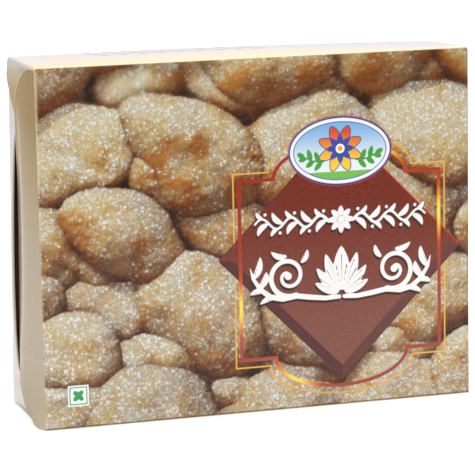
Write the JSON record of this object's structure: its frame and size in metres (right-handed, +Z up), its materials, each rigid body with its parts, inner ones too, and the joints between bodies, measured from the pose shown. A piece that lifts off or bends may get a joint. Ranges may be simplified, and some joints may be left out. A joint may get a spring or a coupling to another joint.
{
  "type": "closed carton of sweets",
  "caption": "Shut tuck-end paperboard carton of milk sweets, standing on its long narrow side, with a full print of sugared sweets on its broad faces.",
  "frame": {"origin": "under the middle of the carton, on the surface that it stands on", "axes": "+Z up, +X to the right along the carton's length as seen from the front, and the broad printed front faces -Y"},
  "size_m": [0.1626, 0.0446, 0.1282],
  "materials": {
    "printed_paperboard": "satin varnished print on folding boxboard"
  },
  "bodies": {
    "root": {"carton": "printed_paperboard"}
  },
  "joints": []
}
